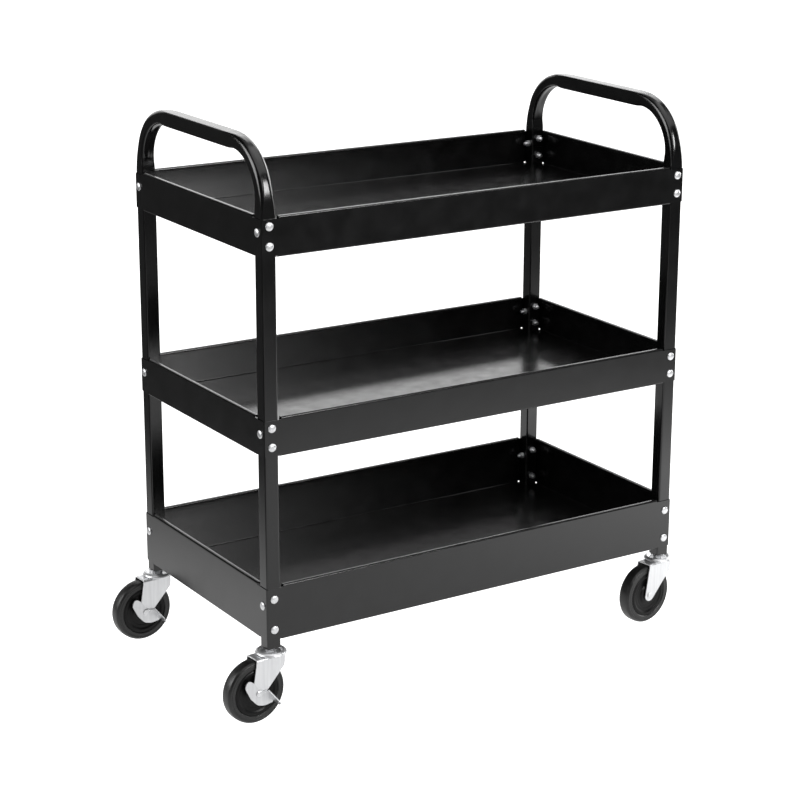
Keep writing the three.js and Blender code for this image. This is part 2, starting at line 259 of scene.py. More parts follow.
def piece(name, mesh, material, body, matrix, replaces=None, edge=0.0):
    """A piece of the cart, riding on its body. edge is the width of a bevel on its sharp edges, in mm."""
    obj = bpy.data.objects.new(name, mesh)
    scene.collection.objects.link(obj)
    obj.matrix_world = matrix
    if not mesh.materials:
        mesh.materials.append(material)
    if edge:
        bevel = obj.modifiers.new("edges", "BEVEL")
        bevel.width = edge * MM
        bevel.segments = 2
        bevel.limit_method = "ANGLE"
        bevel.angle_limit = math.radians(40)
        bevel.harden_normals = True
    weighted = obj.modifiers.new("normals", "WEIGHTED_NORMAL")
    weighted.keep_sharp = True
    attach(obj, body)
    if replaces:
        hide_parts(replaces)


# ---------------------------------------------------------------- materials

def fill_ramp(ramp, stops):
    """Gives a ramp node its (position, colour) stops."""
    elements = ramp.color_ramp.elements
    while len(elements) < len(stops):
        elements.new(0.5)
    for element, (position, colour) in zip(elements, stops):
        element.position = position
        element.color = (*colour, 1)


def grey(level):
    return (level, level, level)


class Recipe:
    """A Principled material whose colour, roughness and bump come from procedural textures."""

    def __init__(self, name, metallic=0.0, specular=0.5):
        self.material = bpy.data.materials.new(name)
        self.material.use_nodes = True
        self.tree = self.material.node_tree
        self.shader = self.tree.nodes["Principled BSDF"]
        self.shader.inputs["Metallic"].default_value = metallic
        self.shader.inputs["Specular IOR Level"].default_value = specular
        self.coordinates = self.node("ShaderNodeTexCoord").outputs["Object"]
        self.normal = None

    def node(self, kind, **settings):
        made = self.tree.nodes.new(kind)
        for key, value in settings.items():
            setattr(made, key, value)
        return made

    def link(self, source, target):
        self.tree.links.new(source, target)

    def noise(self, scale, detail=3.0, roughness=0.5, stretch=(1, 1, 1)):
        mapping = self.node("ShaderNodeMapping")
        mapping.inputs["Scale"].default_value = stretch
        self.link(self.coordinates, mapping.inputs["Vector"])
        texture = self.node("ShaderNodeTexNoise")
        texture.inputs["Scale"].default_value = scale
        texture.inputs["Detail"].default_value = detail
        texture.inputs["Roughness"].default_value = roughness
        self.link(mapping.outputs["Vector"], texture.inputs["Vector"])
        return texture.outputs["Fac"]

    def ramp(self, source, stops):
        ramp = self.node("ShaderNodeValToRGB")
        fill_ramp(ramp, stops)
        self.link(source, ramp.inputs["Fac"])
        return ramp.outputs["Color"]

    def spread(self, source, low, high, start=0.3, end=0.7):
        """A number that runs from low to high as source runs from start to end."""
        spread = self.node("ShaderNodeMapRange")
        spread.inputs["From Min"].default_value = start
        spread.inputs["From Max"].default_value = end
        spread.inputs["To Min"].default_value = low
        spread.inputs["To Max"].default_value = high
        self.link(source, spread.inputs["Value"])
        return spread.outputs["Result"]

    def colour(self, source):
        self.link(source, self.shader.inputs["Base Color"])

    def roughness(self, source):
        self.link(source, self.shader.inputs["Roughness"])

    def bump(self, source, depth):
        """Bumps of this depth in millimetres, on top of those added before."""
        bump = self.node("ShaderNodeBump")
        bump.inputs["Distance"].default_value = depth * MM
        bump.inputs["Strength"].default_value = 1.0
        self.link(source, bump.inputs["Height"])
        if self.normal is not None:
            self.link(self.normal, bump.inputs["Normal"])
        self.normal = bump.outputs["Normal"]
        self.link(self.normal, self.shader.inputs["Normal"])


def powder_coat():
    """Semi-gloss black coat on sheet: cloudy gloss, fine orange peel and slightly wavy sheet under it."""
    recipe = Recipe("powder_coat")
    clouds = recipe.noise(36, detail=4, roughness=0.6)
    recipe.colour(recipe.ramp(clouds, [(0.35, (0.006, 0.006, 0.0063)), (0.68, (0.012, 0.012, 0.0125))]))
    recipe.roughness(recipe.spread(clouds, 0.18, 0.24))
    recipe.bump(recipe.noise(3.2, detail=1), 0.8)
    recipe.bump(recipe.noise(700, detail=2), 0.010)
    return recipe.material


def gloss_paint():
    """Smooth gloss black on the tubes, with faint drawing lines."""
    recipe = Recipe("gloss_paint")
    drawn = recipe.noise(40, detail=3, stretch=(6, 6, 0.4))
    recipe.colour(recipe.ramp(drawn, [(0.3, (0.005, 0.005, 0.0052)), (0.7, (0.009, 0.009, 0.0095))]))
    recipe.roughness(recipe.spread(recipe.noise(25, detail=4), 0.16, 0.23))
    recipe.bump(recipe.noise(600, detail=2), 0.006)
    return recipe.material


def zinc_plate(name, dark):
    """Bright zinc: pale and satin, with faint vertical rolling marks. dark is its darkest grey."""
    recipe = Recipe(name, metallic=1.0)
    marks = recipe.noise(260, detail=4, roughness=0.55, stretch=(1, 1, 0.06))
    greys = ((0.3, dark), (0.7, dark + 0.09))
    recipe.colour(recipe.ramp(marks, [(at, (level, level + 0.005, level + 0.015)) for at, level in greys]))
    recipe.roughness(recipe.spread(recipe.noise(35, detail=3), 0.38, 0.46))
    recipe.bump(marks, 0.008)
    return recipe.material


def plain_steel():
    """Bare machined steel, for what hides inside the tubes and the hubs."""
    recipe = Recipe("plain_steel", metallic=1.0)
    clouds = recipe.noise(90, detail=5)
    recipe.colour(recipe.ramp(clouds, [(0.3, (0.42, 0.42, 0.43)), (0.7, (0.56, 0.56, 0.57))]))
    recipe.roughness(recipe.spread(clouds, 0.32, 0.48))
    recipe.bump(recipe.noise(900, detail=3, stretch=(1, 1, 0.1)), 0.02)
    return recipe.material


def tyre_rubber():
    """Hard moulded rubber, slightly uneven in gloss."""
    recipe = Recipe("tyre_rubber", specular=0.45)
    grain = recipe.noise(160, detail=6, roughness=0.65)
    recipe.colour(recipe.ramp(grain, [(0.3, grey(0.005)), (0.72, (0.012, 0.012, 0.0117))]))
    recipe.roughness(recipe.spread(grain, 0.32, 0.46))
    recipe.bump(recipe.noise(1100, detail=4), 0.04)
    return recipe.material


def wheel_plastic():
    """Black moulded plastic, darker and less shiny than the tyre."""
    recipe = Recipe("wheel_plastic", specular=0.15)
    grain = recipe.noise(120, detail=5)
    recipe.colour(recipe.ramp(grain, [(0.3, grey(0.003)), (0.7, grey(0.006))]))
    recipe.roughness(recipe.spread(grain, 0.28, 0.40))
    recipe.bump(recipe.noise(900, detail=3), 0.02)
    return recipe.material


POWDER = powder_coat()
GLOSS = gloss_paint()
ZINC = zinc_plate("zinc_plate", 0.62)
# painted shade: the brake lever gets the fork's zinc made darker, for the shade on the lever
SHADED_LEVER_ZINC = zinc_plate("shaded_lever_zinc_plate", 0.56)
STEEL = plain_steel()
RUBBER = tyre_rubber()
PLASTIC = wheel_plastic()


# ---------------------------------------------------------------- places from the frame

def span(node):
    """Lowest and highest corner of a CAD node, in millimetres."""
    low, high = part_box(node)
    return low / MM, high / MM


leg_low, leg_high = span("leg_back_right")
TUBE = leg_high.x - leg_low.x
LEG_X = (leg_low.x + leg_high.x) / 2
LEG_Y = (leg_low.y + leg_high.y) / 2
CORNERS = {
    "front_left": (-1, -1),
    "back_left": (-1, 1),
    "front_right": (1, -1),
    "back_right": (1, 1),
}
TRAYS = ("top_tray", "middle_tray", "bottom_tray")


# ---------------------------------------------------------------- trays

class TrayMesh:
    """One folded sheet: floor with a notch at each corner, four walls, and a rolled edge on each wall.

    A ring has, for each side in turn, four stations (fold end, bead end, bead end, fold end) and then the
    points of the corner that follows.
    """

    CORNER_STEPS = 6
    FOLD_STEPS = 6
    ROLL_STEPS = 16
    PER_SIDE = 4 + CORNER_STEPS + 1

    def __init__(self, length, width, depth):
        self.half = (length / 2, width / 2)
        self.wall_top = depth - BEAD
        self.points = []
        self.faces = []

    def add(self, point):
        self.points.append(point)
        return len(self.points) - 1

    def place(self, side, along, inset, z):
        """A point on a side: sides 0 to 3 face +X, +Y, -X and -Y, and along runs anticlockwise."""
        out = self.half[side % 2] - inset
        x, y = ((out, along), (-along, out), (-out, -along), (along, -out))[side]
        return (x, y, z)

    def tube_edge(self, side):
        """How far from the middle of a side its tubes start."""
        return (LEG_Y if side % 2 == 0 else LEG_X) - TUBE / 2

    def ring(self, inset, z):
        """A ring round the tray, this far inside its outline."""
        indices = []
        for side in range(4):
            fold_end = self.tube_edge(side) - NOTCH - RELIEF
            bead_end = self.tube_edge(side) - BEAD_END
            for along in (-fold_end, -bead_end, bead_end, fold_end):
                indices.append(self.add(self.place(side, along, inset, z)))
            centre_x = (self.half[0] - TRAY_CORNER) * (1 if side in (0, 3) else -1)
            centre_y = (self.half[1] - TRAY_CORNER) * (1 if side in (0, 1) else -1)
            for step in range(self.CORNER_STEPS + 1):
                angle = (side + step / self.CORNER_STEPS) * TAU / 4
                x = centre_x + (TRAY_CORNER - inset) * math.cos(angle)
                y = centre_y + (TRAY_CORNER - inset) * math.sin(angle)
                indices.append(self.add((x, y, z)))
        return indices

    def strip(self, first, second, stations):
        """Quads between two rings, after each of these stations of every side."""
        total = 4 * self.PER_SIDE
        for side in range(4):
            for station in stations:
                i = side * self.PER_SIDE + station
                j = (i + 1) % total
                self.faces.append((first[i], first[j], second[j], second[i]))

    def fold_ring(self, radius, share):
        """A ring along the fold at the foot of the walls, from share 0 at the floor to 1 at the walls."""
        angle = share * TAU / 4
        return self.ring(FOLD - radius * math.sin(angle), FOLD - radius * math.cos(angle))

    def build(self):
        middle = (0, 1, 2)
        corner = tuple(range(3, self.PER_SIDE))
        shares = [step / self.FOLD_STEPS for step in range(self.FOLD_STEPS + 1)]
        outer = [self.fold_ring(FOLD, share) for share in shares]
        inner = [self.fold_ring(FOLD - SHEET, share) for share in shares]
        top_outer = self.ring(0, self.wall_top)
        top_inner = self.ring(SHEET, self.wall_top)
        for rings in (outer, inner):
            for low, high in zip(rings, rings[1:]):
                self.strip(low, high, middle)
        self.strip(outer[-1], top_outer, middle + corner)
        self.strip(inner[-1], top_inner, middle + corner)
        self.strip(outer[-1], inner[-1], corner)
        self.strip(top_outer, top_inner, (0, 2) + corner)
        for side in range(4):
            for station in (0, 3):
                i = side * self.PER_SIDE + station
                self.faces.append([ring[i] for ring in outer] + [ring[i] for ring in reversed(inner)])
            self.bead(side, top_outer, top_inner)
        self.floor(outer[0], inner[0])
        return self.points, self.faces

    def floor(self, under, over):
        """Floor plate between its underside and upper ring, with the notch and reliefs of each corner."""
        outlines = ([], [])
        for side in range(4):
            following = (side + 1) % 4
            notch = self.tube_edge(side) - NOTCH
            next_notch = self.tube_edge(following) - NOTCH
            relief = FOLD + RELIEF_DEPTH
            for outline, ring, z in zip(outlines, (under, over), (0, SHEET)):
                first = side * self.PER_SIDE
                outline += ring[first:first + 4]
                cuts = [
                    self.place(side, notch - RELIEF, relief, z),
                    self.place(side, notch, relief, z),
                    self.place(side, notch, self.half[side % 2] - next_notch, z),
                    self.place(following, -next_notch, relief, z),
                    self.place(following, RELIEF - next_notch, relief, z),
                ]
                outline += [self.add(cut) for cut in cuts]
        self.faces += outlines
        count = len(outlines[0])
        per_side = count // 4
        for i in range(count):
            if i % per_side >= 3:  # the first three edges of a side belong to its fold
                j = (i + 1) % count
                self.faces.append((outlines[0][i], outlines[0][j], outlines[1][j], outlines[1][i]))

    def roll(self, radius):
        """Half turn of the rolled edge, from the wall inwards: a round flattened on its shoulders."""
        points = []
        for step in range(self.ROLL_STEPS + 1):
            angle = math.pi * (1 - step / self.ROLL_STEPS)
            inwards = math.copysign(abs(math.cos(angle)) ** ROLL_SQUARENESS, math.cos(angle))
            points.append((BEAD + radius * inwards, radius * abs(math.sin(angle)) ** ROLL_SQUARENESS))
        return points

    def bead(self, side, top_outer, top_inner):
        """The rolled edge of one wall, between its two bead ends."""
        outside = self.roll(BEAD)
        inside = self.roll(BEAD - SHEET)[::-1]
        lip = [(2 * BEAD, -BEAD_LIP), (2 * BEAD - SHEET, -BEAD_LIP)]
        section = outside[1:] + lip + inside[:-1]
        end = self.tube_edge(side) - BEAD_END
        lines = []
        for station, along in ((1, -end), (2, end)):
            i = side * self.PER_SIDE + station
            line = [self.add(self.place(side, along, inset, self.wall_top + up)) for inset, up in section]
            lines.append([top_outer[i]] + line + [top_inner[i]])
        first, second = lines
        for i in range(len(first) - 1):
            self.faces.append((first[i], first[i + 1], second[i + 1], second[i]))
        self.faces += lines


def make_tray(name):
    low, high = span(name)
    size = high - low
    mesh = mesh_of(name + "_sheet", TrayMesh(size.x, size.y, size.z).build())
    matrix = Matrix.Translation((0, 0, low.z * MM))
    piece(name + "_sheet", mesh, POWDER, "cart", matrix, name)


# ---------------------------------------------------------------- tubes

def sunken(start, end, depth, steps=10):
    """Points between start and end, sunk by depth in the middle, to the left of the way they run."""
    left = Vector((start.y - end.y, end.x - start.x)).normalized()
    points = []
    for step in range(1, steps):
        share = step / steps
        points.append(start.lerp(end, share) + left * depth * (1 - math.cos(TAU * share)) / 2)
    return points


def tube_section(half, outer, inner, outer_corner, inner_corner, crease=0.0):
    """Rounded square across a tube, from y = outer to y = -inner. Its -Y side can be sunk in the middle."""
    corner_steps = 6
    turns = rounded_path([
        (half, outer, outer_corner),
        (-half, outer, outer_corner),
        (-half, -inner, inner_corner),
        (half, -inner, inner_corner),
    ], steps=corner_steps)
    second = corner_steps + 1  # where the second corner starts
    fourth = 3 * second
    outside = sunken(turns[second - 1], turns[second], 0)  # flat, and divided so that it shades evenly
    inside = sunken(turns[fourth - 1], turns[fourth], crease)
    return turns[:second] + outside + turns[second:fourth] + inside + turns[fourth:]


def make_leg(corner):
    low, high = span("leg_" + corner)
    half = TUBE / 2
    outside = tube_section(half, half, half, TUBE_CORNER, TUBE_CORNER)
    bore = half - TUBE_WALL
    bore_corner = TUBE_CORNER - TUBE_WALL
    inside = tube_section(bore, bore, bore, bore_corner, bore_corner)
    levels = [low.z, high.z]
    loops = [[(x, y, z) for x, y in outside] for z in levels]
    loops += [[(x, y, z) for x, y in inside] for z in reversed(levels)]
    mesh = mesh_of("tube_" + corner, loft(loops, closed=True))
    middle = (low + high) / 2
    matrix = Matrix.Translation((middle.x * MM, middle.y * MM, 0))
    piece("leg_tube_" + corner, mesh, GLOSS, "cart", matrix, "leg_" + corner)


def smooth_step(value):
    """Runs from 0 to 1 as value does, with a soft start and end."""
    value = min(max(value, 0), 1)
    return value * value * (3 - 2 * value)


def handle_stations(low, high):
    """Stations along one half of a handle, in YZ, from its foot to past its bend.

    Each is a centre (y, z), the angle of its outward direction, and its flattening and pressing from 0 to 1.
    """
    half_run = (high.y - low.y - TUBE) / 2 - HANDLE_BEND
    bend_z = high.z - TUBE / 2 - HANDLE_BEND
    bend_length = HANDLE_BEND * TAU / 4
    straight_steps = 12
    bend_steps = 48
    eased = [-FLATTENING_BEFORE * (1 - step / straight_steps) for step in range(straight_steps)]
    stations = []
    for distance in [low.z - bend_z] + eased:
        stations.append((half_run + HANDLE_BEND, bend_z + distance, 0.0, distance))
    for step in range(bend_steps + 1):
        angle = step / bend_steps * TAU / 4
        y = half_run + HANDLE_BEND * math.cos(angle)
        z = bend_z + HANDLE_BEND * math.sin(angle)
        distance = angle * HANDLE_BEND
        stations.append((y, z, angle, min(distance, bend_length - distance)))
    for step in range(1, straight_steps + 1):
        distance = FLATTENING_BEFORE * step / straight_steps
        stations.append((half_run - distance, bend_z + HANDLE_BEND, TAU / 4, -distance))
    made = []
    for y, z, angle, reach in stations:
        flat = smooth_step((reach + FLATTENING_BEFORE) / (FLATTENING_BEFORE + FLATTENING_WITHIN))
        pressed = smooth_step((reach + PRESSING_BEFORE) / PRESSING_STEP)
        made.append((y, z, angle, flat, pressed))
    return made


def handle_loops(stations, inset):
    """Sections of the handle's outside, or of its bore with inset as the wall thickness."""
    half = TUBE / 2 - inset
    loops = []
    mirrored = [(-y, z, math.pi - angle, flat, pressed) for y, z, angle, flat, pressed in reversed(stations)]
    for y, z, angle, flat, pressed in stations + mirrored:
        outer = half - BEND_FLATTENED * flat
        inner = half - BEND_PRESSED * pressed
        outer_corner = TUBE_CORNER - inset + (BEND_CORNER - TUBE_CORNER) * flat
        inner_corner = TUBE_CORNER - inset + (BEND_INNER_CORNER - TUBE_CORNER) * flat
        section = tube_section(half, outer, inner, outer_corner, inner_corner, BEND_CREASE * flat)
        loops.append([(u, y + v * math.cos(angle), z + v * math.sin(angle)) for u, v in section])
    return loops


def make_handle(end):
    low, high = span("handle_" + end)
    stations = handle_stations(low, high)
    loops = handle_loops(stations, 0) + handle_loops(stations, TUBE_WALL)[::-1]
    mesh = mesh_of("handle_tube_" + end, loft(loops, closed=True))
    matrix = Matrix.Translation(((low.x + high.x) / 2 * MM, 0, 0))
    piece("handle_tube_" + end, mesh, GLOSS, "cart", matrix, "handle_" + end)


# ---------------------------------------------------------------- tray bolts

def threaded(radius, start, end, pitch=1.0):
    """Profile of a thread, as ridges from height start to a chamfer at height end."""
    thread_depth = 0.3
    chamfer = 0.7
    turns = round(abs(end - start) / pitch)
    step = (end - start) / turns
    points = []
    for turn in range(turns):
        points.append((radius - thread_depth, start + step * turn))
        points.append((radius, start + step * (turn + 0.5)))
    return points + [(radius - chamfer, end)]


def bolt_shape(grip):
    """A domed bolt: its head stands on z = 0 and its thread ends below the nut at z = -grip."""
    dome_steps = 8
    dome = []
    for step in range(dome_steps + 1):
        angle = step / dome_steps * TAU / 4
        dome.append((BOLT_HEAD * math.sin(angle), BOLT_RIM + (BOLT_DOME - BOLT_RIM) * math.cos(angle)))
    thread_start = 1 - grip
    thread_end = -grip - NUT_HEIGHT - THREAD_END
    shank = [(BOLT_HEAD, 0.15), (BOLT_HEAD - 0.2, 0), (BOLT_RADIUS, 0), (BOLT_RADIUS, thread_start)]
    thread = threaded(BOLT_RADIUS, thread_start, thread_end)
    return turned(dome + shank + thread + [(0, thread_end)], MEDIUM)


def hexagon_nut(flats, height, hole, base):
    """A hexagonal nut standing on z = base, its corners and its hole chamfered."""
    inner = flats / 2
    chamfer = 0.12 * inner
    countersink = 0.5
    loops = []
    for z in (0, chamfer, height - chamfer, height):
        loop = []
        for i in range(MEDIUM):
            angle = TAU * i / MEDIUM
            from_middle_of_flat = (angle + TAU / 12) % (TAU / 6) - TAU / 12
            edge = inner / math.cos(from_middle_of_flat)
            if z in (0, height):
                edge = min(edge, inner * 1.01)
            loop.append((edge * math.cos(angle), edge * math.sin(angle), base + z))
        loops.append(loop)
    for radius, z in ((hole + countersink, height), (hole, height - countersink), (hole, countersink),
                      (hole + countersink, 0)):
        loops.append(circle(radius, base + z, MEDIUM))
    return loft(loops, closed=True)


def make_tray_bolts():
    """Two bolts through the long wall and one through the short wall at each corner of each tray."""
    grip = SHEET + GAP + TUBE
    bolt = mesh_of("tray_bolt", bolt_shape(grip), 50)
    nut_hole = BOLT_RADIUS + 0.1
    nut = mesh_of("tray_nut", hexagon_nut(NUT_FLATS, NUT_HEIGHT, nut_hole, -grip - NUT_HEIGHT), 30)
    for tray in TRAYS:
        low, high = span(tray)
        for corner, (x, y) in CORNERS.items():
            spots = [((x * LEG_X, y * high.y, low.z + up), (0, y, 0)) for up in LONG_WALL_BOLTS[tray]]
            spots.append(((x * high.x, y * LEG_Y, low.z + SHORT_WALL_BOLTS[tray]), (x, 0, 0)))
            for number, (spot, outward) in enumerate(spots, 1):
                turn = Vector(outward).to_track_quat("Z", "Y").to_matrix().to_4x4()
                spin = 0.7 * number + LEG_X * (x + 2 * y)  # so that neighbouring nuts don't stand alike
                place = Matrix.Translation(Vector(spot) * MM)
                matrix = place @ turn @ Matrix.Rotation(spin, 4, "Z")
                label = f"{tray.split('_')[0]}_{corner}_{number}"
                piece("bolt_" + label, bolt, ZINC, "cart", matrix)
                piece("nut_" + label, nut, ZINC, "cart", matrix)


# ---------------------------------------------------------------- casters

def stem_shape():
    """Caster stem: a riveted end under the fork's crown, the kingpin, and the thread into the leg's foot."""
    rivet_top = CROWN_TOP - FORK_SHEET - GAP
    lower = rounded_path([
        (0, rivet_top - RIVET_HEIGHT, 0),
        (RIVET_RADIUS - 0.4, rivet_top - RIVET_HEIGHT, 2.0),
        (RIVET_RADIUS, rivet_top, 0.2),
        (KINGPIN_RADIUS, rivet_top, 0),
        (KINGPIN_RADIUS, CUP_DISH + GAP, 0),
        (STEM_RADIUS, CUP_DISH + GAP, 0),
    ], closed=False)
    thread = threaded(STEM_RADIUS, CUP_DISH + 1, STEM_TOP - 1, pitch=1.25)
    return turned([tuple(p) for p in lower] + thread + [(0, STEM_TOP)], MEDIUM)


def cup_shape():
    """Ball cup: a dished ring with a rolled rim, under the stem nut."""
    bottom = CROWN_TOP + GAP
    hole = KINGPIN_RADIUS + GAP
    profile = rounded_path([
        (hole, bottom, 0),
        (CUP_RADIUS - 1.2, bottom, 0.8),
        (CUP_RADIUS, bottom + 1.4, 0.8),
        (CUP_RADIUS - 0.8, bottom + 3.6, 1.6),
        (CUP_RADIUS - 4, CUP_TOP, 1.8),
        (CUP_RADIUS - 6.4, CUP_TOP - 0.6, 1.2),
        (CUP_RADIUS - 8.8, CUP_DISH, 1.6),
        (hole, CUP_DISH, 0),
    ], steps=5)
    return turned([tuple(p) for p in profile], FINE, closed=True)


def boss_outline(start, end, steps=20):
    """Arc of the round end of a fork leg, seen from the side, between two angles in degrees."""
    points = []
    for step in range(steps + 1):
        angle = math.radians(start + (end - start) * step / steps)
        points.append((-TRAIL + FORK_BOSS * math.cos(angle), WHEEL_RADIUS + FORK_BOSS * math.sin(angle)))
    return points


def fork_mesh():
    """One sheet bent into an inverted U: the bent strip, limited to its outlines from the side and above."""
    nose = FORK_FRONT + FORK_NOSE
    low = WHEEL_RADIUS - FORK_BOSS - 2
    inner_bend = CROWN_BEND - FORK_SHEET
    section = rounded_path([
        (FORK_OUTSIDE, low, 0),
        (FORK_OUTSIDE, CROWN_TOP, CROWN_BEND),
        (-FORK_OUTSIDE, CROWN_TOP, CROWN_BEND),
        (-FORK_OUTSIDE, low, 0),
        (-FORK_INSIDE, low, 0),
        (-FORK_INSIDE, CROWN_TOP - FORK_SHEET, inner_bend),
        (FORK_INSIDE, CROWN_TOP - FORK_SHEET, inner_bend),
        (FORK_INSIDE, low, 0),
    ])
    strip = loft([[(x, y, z) for y, z in section] for x in (-TRAIL - FORK_BOSS - 4, nose + 2)])
    mesh = mesh_of("fork", strip)
    boss = boss_outline(188, 318)
    front = rounded_path([
        (*boss[-1], 0), (14.6, 84.4, 7), (FORK_FRONT + 0.5, 94, 5), (nose + 3, CROWN_TOP + 3, 0),
        (FORK_BACK, CROWN_TOP + 3, 0),
    ], closed=False)
    side = boss[:-1] + [tuple(p) for p in front]
    mesh = combined(mesh, slab(side, -FORK_OUTSIDE - 2, FORK_OUTSIDE + 2), "INTERSECT")
    behind = -TRAIL - FORK_BOSS - 2
    nose_steps = 24
    plan = [(behind, -FORK_OUTSIDE - 1), (FORK_FRONT, -FORK_OUTSIDE - 1)]
    for step in range(nose_steps + 1):
        share = step / nose_steps * 2 - 1
        plan.append((FORK_FRONT + FORK_NOSE * (1 - share * share), share * FORK_OUTSIDE))
    plan += [(FORK_FRONT, FORK_OUTSIDE + 1), (behind, FORK_OUTSIDE + 1)]
    mesh = combined(mesh, prism(plan, low - 1, CROWN_TOP + 1), "INTERSECT")
    mesh = combined(mesh, rod(KINGPIN_RADIUS + GAP, CROWN_TOP - 8, CROWN_TOP + 8), "DIFFERENCE")
    reach = FORK_OUTSIDE + 3
    axle_hole = across(rod(AXLE_RADIUS + GAP, -reach, reach))
    mesh = combined(mesh, moved(axle_hole, (-TRAIL, 0, WHEEL_RADIUS)), "DIFFERENCE")
    tidy(mesh)
    finish_shading(mesh)
    return mesh


def axle_shape(has_brake):
    """Axle riveted at both ends, and longer by the lever's sheet where there is a brake."""
    back = FORK_OUTSIDE + GAP
    front = FORK_OUTSIDE + 2 * GAP + LEVER_SHEET if has_brake else back
    head = AXLE_HEAD_HEIGHT
    head_top = AXLE_HEAD - 1.2
    head_side = 0.6
    profile = rounded_path([
        (0, -front - head, 0),
        (head_top, -front - head, 1.0),
        (AXLE_HEAD, -front - head_side, 0.5),
        (AXLE_HEAD, -front, 0),
        (AXLE_RADIUS, -front, 0),
        (AXLE_RADIUS, back, 0),
        (AXLE_HEAD, back, 0),
        (AXLE_HEAD, back + head_side, 0.5),
        (head_top, back + head, 1.0),
        (0, back + head, 0),
    ], closed=False)
    return across(turned([tuple(p) for p in profile], MEDIUM))


def sleeve_shape():
    """Axle sleeve: a tube with chamfered ends, clamped between the fork legs."""
    half = FORK_INSIDE - GAP
    inner = AXLE_RADIUS + GAP
    chamfer = 0.4
    profile = [
        (inner, -half),
        (SLEEVE_RADIUS - chamfer, -half),
        (SLEEVE_RADIUS, -half + chamfer),
        (SLEEVE_RADIUS, half - chamfer),
        (SLEEVE_RADIUS - chamfer, half),
        (inner, half),
    ]
    return across(turned(profile, MEDIUM, closed=True))


def both_sides(side):
    """A closed wheel profile from the corners of its +Y side, going inwards."""
    return [(radius, -y, fillet) for radius, y, fillet in reversed(side)] + side


def core_shape():
    """Wheel body: rim with a rib, dished web with two steps, and a hub."""
    half = WHEEL_WIDTH / 2
    side = [
        (CORE_RADIUS, half - 1.2, 0.3),
        (CORE_RADIUS - 1.6, half - 1.0, 0.6),
        (CORE_RADIUS - 2.6, half - 0.5, 0.6),
        (CORE_RADIUS - 5.2, half - 0.5, 1.2),
        (CORE_RADIUS - 8.0, half - 1.9, 2.0),
        (24.5, half - 2.3, 1.0),
        (23.6, half - 2.6, 0.8),
        (17.4, half - 2.6, 1.6),
        (15.2, half - 0.6, 1.0),
        (10.4, half, 0.5),
        (9.6, half - 1.0, 0.3),
        (SLEEVE_RADIUS + GAP, half - 1.0, 0.2),
    ]
    profile = rounded_path(both_sides(side), steps=4)
    return across(turned([tuple(p) for p in profile], FINE, closed=True))


def tyre_shape():
    """Tyre: slightly crowned tread, round shoulders, and a groove between shoulder and side ring."""
    half = WHEEL_WIDTH / 2
    side = [
        (WHEEL_RADIUS - 0.5, half - 3.4, 3.0),
        (WHEEL_RADIUS - 3.2, half, 1.6),
        (WHEEL_RADIUS - 5.6, half - 0.1, 0.3),
        (WHEEL_RADIUS - 6.0, half - 0.6, 0.3),
        (WHEEL_RADIUS - 6.4, half - 0.1, 0.3),
        (CORE_RADIUS + 1.6, half, 1.0),
        (CORE_RADIUS + GAP, half - 1.2, 0.4),
    ]
    points = [tuple(p) for p in rounded_path(both_sides(side), steps=5)]
    tread = [(WHEEL_RADIUS - 0.02 - TREAD_CROWN * y * y, y) for y in range(-6, 7, 2)]
    half_way = len(points) // 2
    return across(turned(points[:half_way] + tread + points[half_way:], FINE, closed=True))


def lever_mesh():
    """Brake lever: a leaf on the axle with a rounded ear behind, and a pedal bent outwards in front."""
    top = Vector((16, 1))  # of the pedal's root, from the axle
    bottom = Vector((25, -18.5))
    outline = rounded_path([
        (*top, 0.4), (2.6, 3.2, 30), (-9.8, 20.6, 30), (-19.5, 25.8, 6.5), (-24.6, 14.5, 6.5),
        (-15.2, -4.6, 24), (-3.5, -17.6, 14), (9, -20.9, 22), (*bottom, 2.5),
    ], steps=8)
    face = -FORK_OUTSIDE - GAP
    mesh = mesh_of("brake_lever", slab([tuple(p) for p in outline], face - LEVER_SHEET, face))
    root = bottom - top
    along = Vector((root.x, 0, root.y)).normalized()
    outwards = Vector((0, -1, 0))
    thick = along.cross(outwards)
    length = root.length
    plan = rounded_path([
        (0, 0, 0), (length - 1, 0, 0), (length - 0.5, PEDAL_REACH - 3, 1), (length - 3, PEDAL_REACH, 2.4),
        (length - 8, PEDAL_REACH, 8),
    ])
    start = Vector((top.x, face, top.y))
    loops = []
    for lift in (-LEVER_SHEET, 0):
        loops.append([start + along * a + outwards * b + thick * lift for a, b in plan])
    mesh = combined(mesh, loft(loops), "UNION")
    mesh = combined(mesh, across(rod(AXLE_RADIUS + GAP, face - 5, face + 1)), "DIFFERENCE")
    tidy(mesh)
    finish_shading(mesh)
    return mesh


